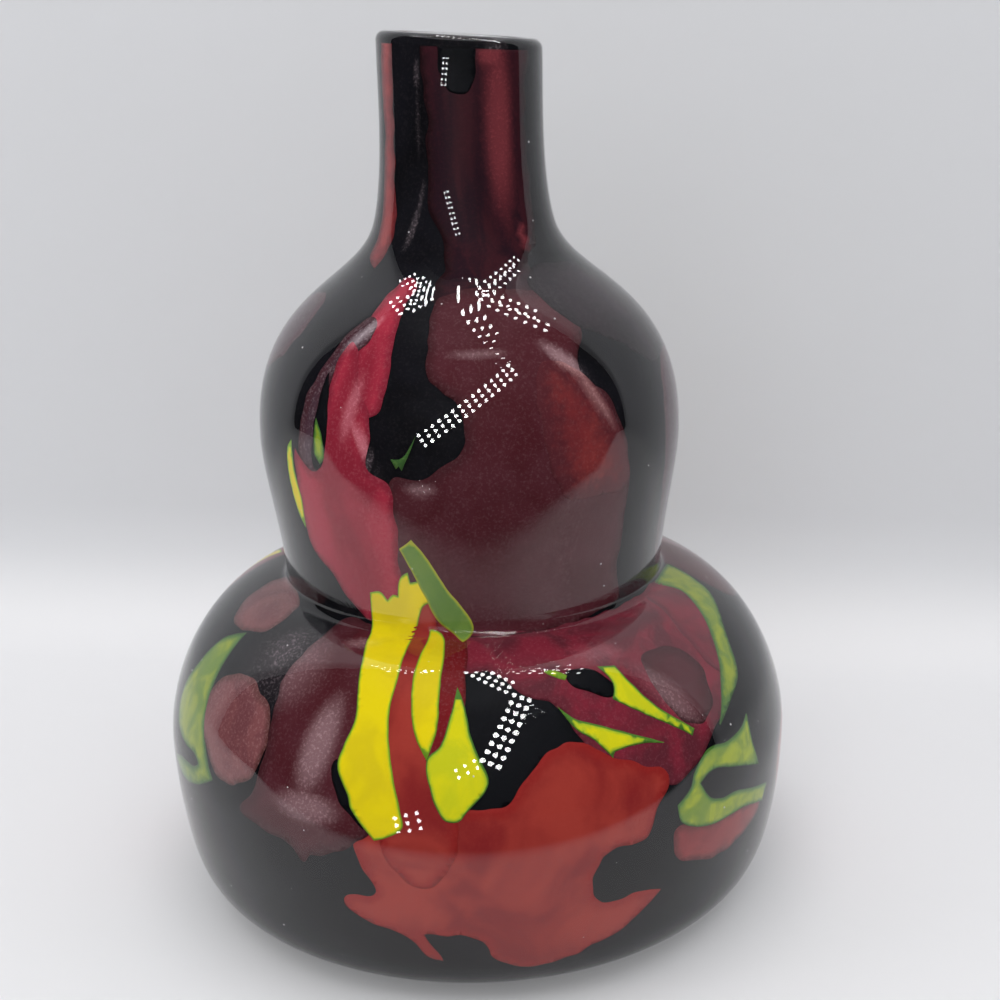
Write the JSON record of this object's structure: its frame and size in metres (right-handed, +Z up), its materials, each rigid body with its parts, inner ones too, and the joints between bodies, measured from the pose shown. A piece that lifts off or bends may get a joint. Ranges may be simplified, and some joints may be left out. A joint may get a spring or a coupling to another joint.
{
  "type": "gourd vase",
  "caption": "Double-gourd vase of thick clear cased glass over bright glass chips on a black ground, with a slim open neck and a flat ground foot.",
  "frame": {"origin": "centre of the foot, on the table plane", "axes": "+Z up along the vase axis, the pictured front faces -Y, +X to the right seen from the front"},
  "size_m": [0.184, 0.184, 0.245],
  "materials": {
    "black_glass": "gloss",
    "clear_glass": "gloss",
    "crimson_glass": "gloss",
    "dark_lining_glass": "gloss",
    "green_glass": "gloss",
    "lime_glass": "gloss",
    "maroon_glass": "gloss",
    "mauve_glass": "gloss",
    "red_glass": "gloss",
    "rose_glass": "gloss",
    "wine_glass": "gloss",
    "yellow_glass": "gloss"
  },
  "bodies": {
    "root": {"black_barb": "black_glass", "black_chip": "black_glass", "black_ground": "black_glass", "black_lens": "black_glass", "black_pool": "black_glass", "black_wedge": "black_glass", "clear_casing": "clear_glass", "crimson_back": "crimson_glass", "crimson_panel": "crimson_glass", "crimson_shoulder": "crimson_glass", "green_chip": "green_glass", "green_crescent": "green_glass", "green_fan": "green_glass", "green_hook": "green_glass", "green_leaf": "green_glass", "green_strip": "green_glass", "inner_lining": "dark_lining_glass", "lime_comma": "lime_glass", "lime_needle": "lime_glass", "lime_petal": "lime_glass", "lime_scroll": "lime_glass", "lime_splinter": "lime_glass", "lime_spoon": "lime_glass", "lime_wedge": "lime_glass", "maroon_back": "maroon_glass", "maroon_body": "maroon_glass", "maroon_cloak": "maroon_glass", "maroon_cloud": "maroon_glass", "maroon_leaf": "maroon_glass", "maroon_nape": "maroon_glass", "maroon_neck": "maroon_glass", "maroon_side": "maroon_glass", "mauve_flank": "mauve_glass", "mauve_oval": "mauve_glass", "mauve_ribbon": "mauve_glass", "mauve_shoulder": "mauve_glass", "mauve_side": "mauve_glass", "red_back": "red_glass", "red_band": "red_glass", "red_front": "red_glass", "red_heel": "red_glass", "red_nape": "red_glass", "red_panel": "red_glass", "red_sail": "red_glass", "red_sheen": "red_glass", "red_side": "red_glass", "red_tongue": "red_glass", "rose_back": "rose_glass", "rose_heel": "rose_glass", "rose_neck": "rose_glass", "wine_tongue": "wine_glass", "yellow_blade": "yellow_glass", "yellow_chip": "yellow_glass", "yellow_finger": "yellow_glass", "yellow_hook": "yellow_glass", "yellow_splinter": "yellow_glass", "yellow_thread": "yellow_glass", "yellow_wing": "yellow_glass"}
  },
  "joints": []
}
